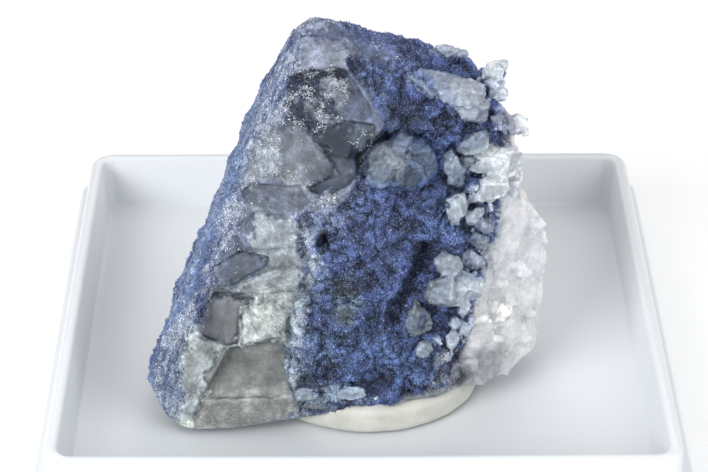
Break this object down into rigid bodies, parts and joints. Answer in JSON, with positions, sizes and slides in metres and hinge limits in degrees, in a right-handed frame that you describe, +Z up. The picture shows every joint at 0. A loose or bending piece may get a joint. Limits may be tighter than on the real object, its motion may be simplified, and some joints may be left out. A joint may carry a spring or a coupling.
{
  "type": "mounted mineral specimen",
  "caption": "Blue dumortierite crust on broken grey quartz with white quartz crystals, bedded in a putty disc in the shallow white plastic base of a small display box.",
  "frame": {"origin": "centre of the underside of the display box base", "axes": "+Z up from the table, +X to the right as the felted blue face is seen, +Y away from the one who looks at it"},
  "size_m": [0.057, 0.057, 0.0366],
  "materials": {
    "white_plastic": "moulded polystyrene, smooth satin gloss",
    "putty": "matt, soft and slightly creased",
    "rock": "rough stone: felted royal-blue dumortierite needles, broken grey quartz and white crystals"
  },
  "bodies": {
    "root": {"display_box_base": "white_plastic", "mounting_putty": "putty", "dumortierite_specimen": "rock"}
  },
  "joints": []
}
